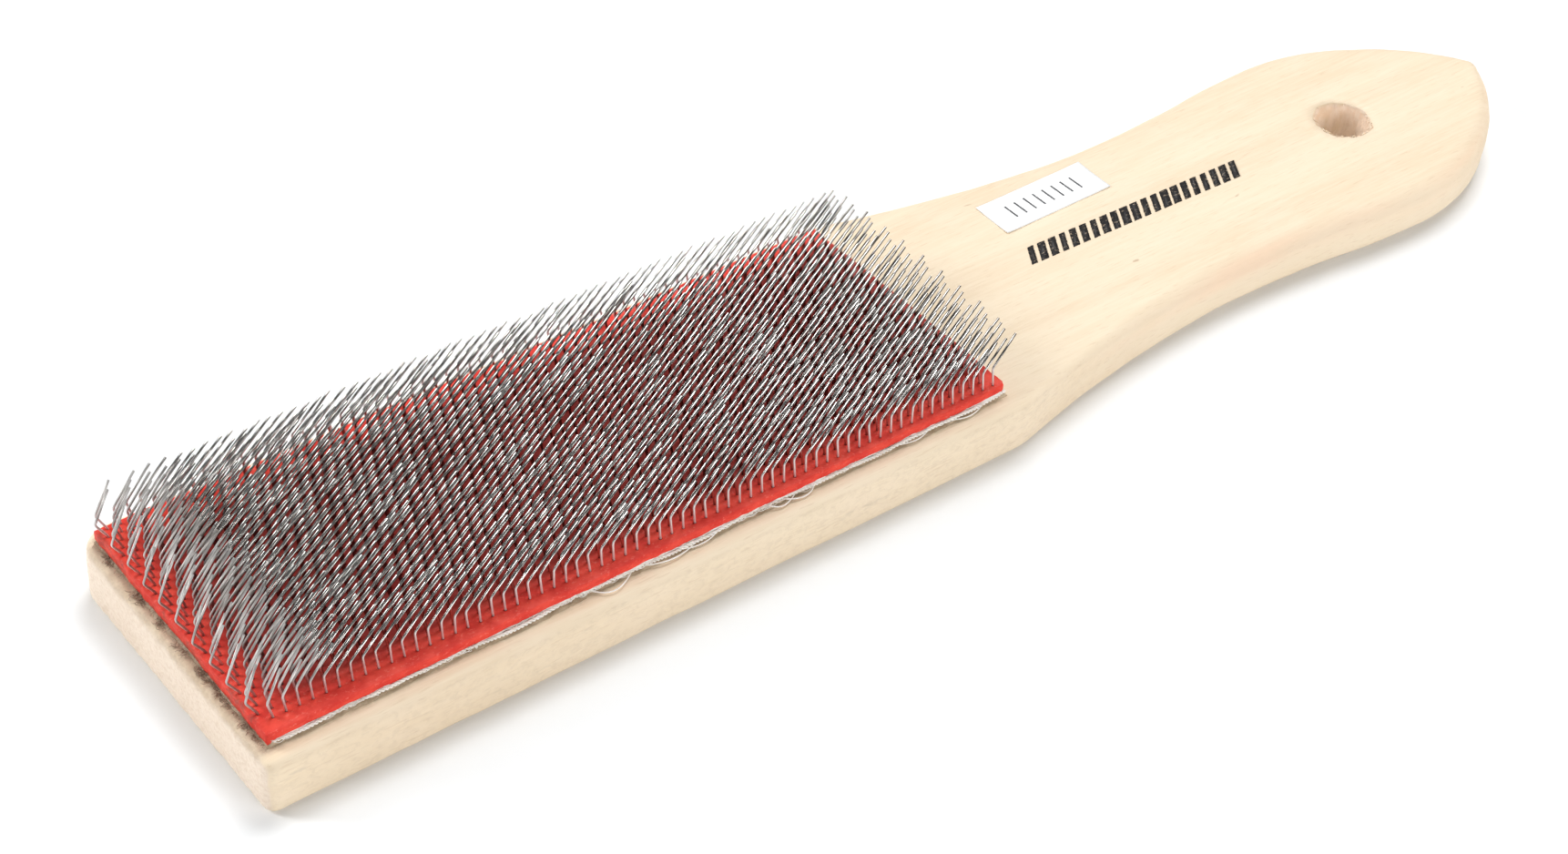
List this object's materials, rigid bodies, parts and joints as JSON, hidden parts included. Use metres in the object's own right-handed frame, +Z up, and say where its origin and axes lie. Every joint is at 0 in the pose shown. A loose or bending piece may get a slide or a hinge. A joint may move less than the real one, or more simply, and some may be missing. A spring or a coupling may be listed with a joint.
{
  "type": "file card brush",
  "caption": "Flat wooden paddle brush with a strip of card clothing: cotton and rubber layers pierced by rows of knee-bent steel wires, and a hanging hole.",
  "frame": {"origin": "under the middle of the board, on the surface that the card lies on, half-way from the head's front end to the handle's tip", "axes": "+X from the head's front end to the handle's tip, +Y across the board, +Z up through the wires"},
  "size_m": [0.24, 0.0488, 0.0181],
  "materials": {
    "wood": "sanded bare pale wood, fine lengthwise grain",
    "cement": "dried brown contact cement",
    "cotton": "woven cotton, frayed at the cut edge",
    "red_rubber": "matt red natural rubber",
    "steel_wire": "drawn steel wire, bright",
    "paper": "matt white paper"
  },
  "bodies": {
    "root": {"handle": "wood", "cement_layer": "cement", "cotton_backing": "cotton", "rubber_face": "red_rubber", "staple_line_01": "steel_wire", "staple_line_02": "steel_wire", "staple_line_03": "steel_wire", "staple_line_04": "steel_wire", "staple_line_05": "steel_wire", "staple_line_06": "steel_wire", "staple_line_07": "steel_wire", "staple_line_08": "steel_wire", "staple_line_09": "steel_wire", "staple_line_10": "steel_wire", "staple_line_11": "steel_wire", "staple_line_12": "steel_wire", "staple_line_13": "steel_wire", "staple_line_14": "steel_wire", "staple_line_15": "steel_wire", "paper_label": "paper"}
  },
  "joints": []
}
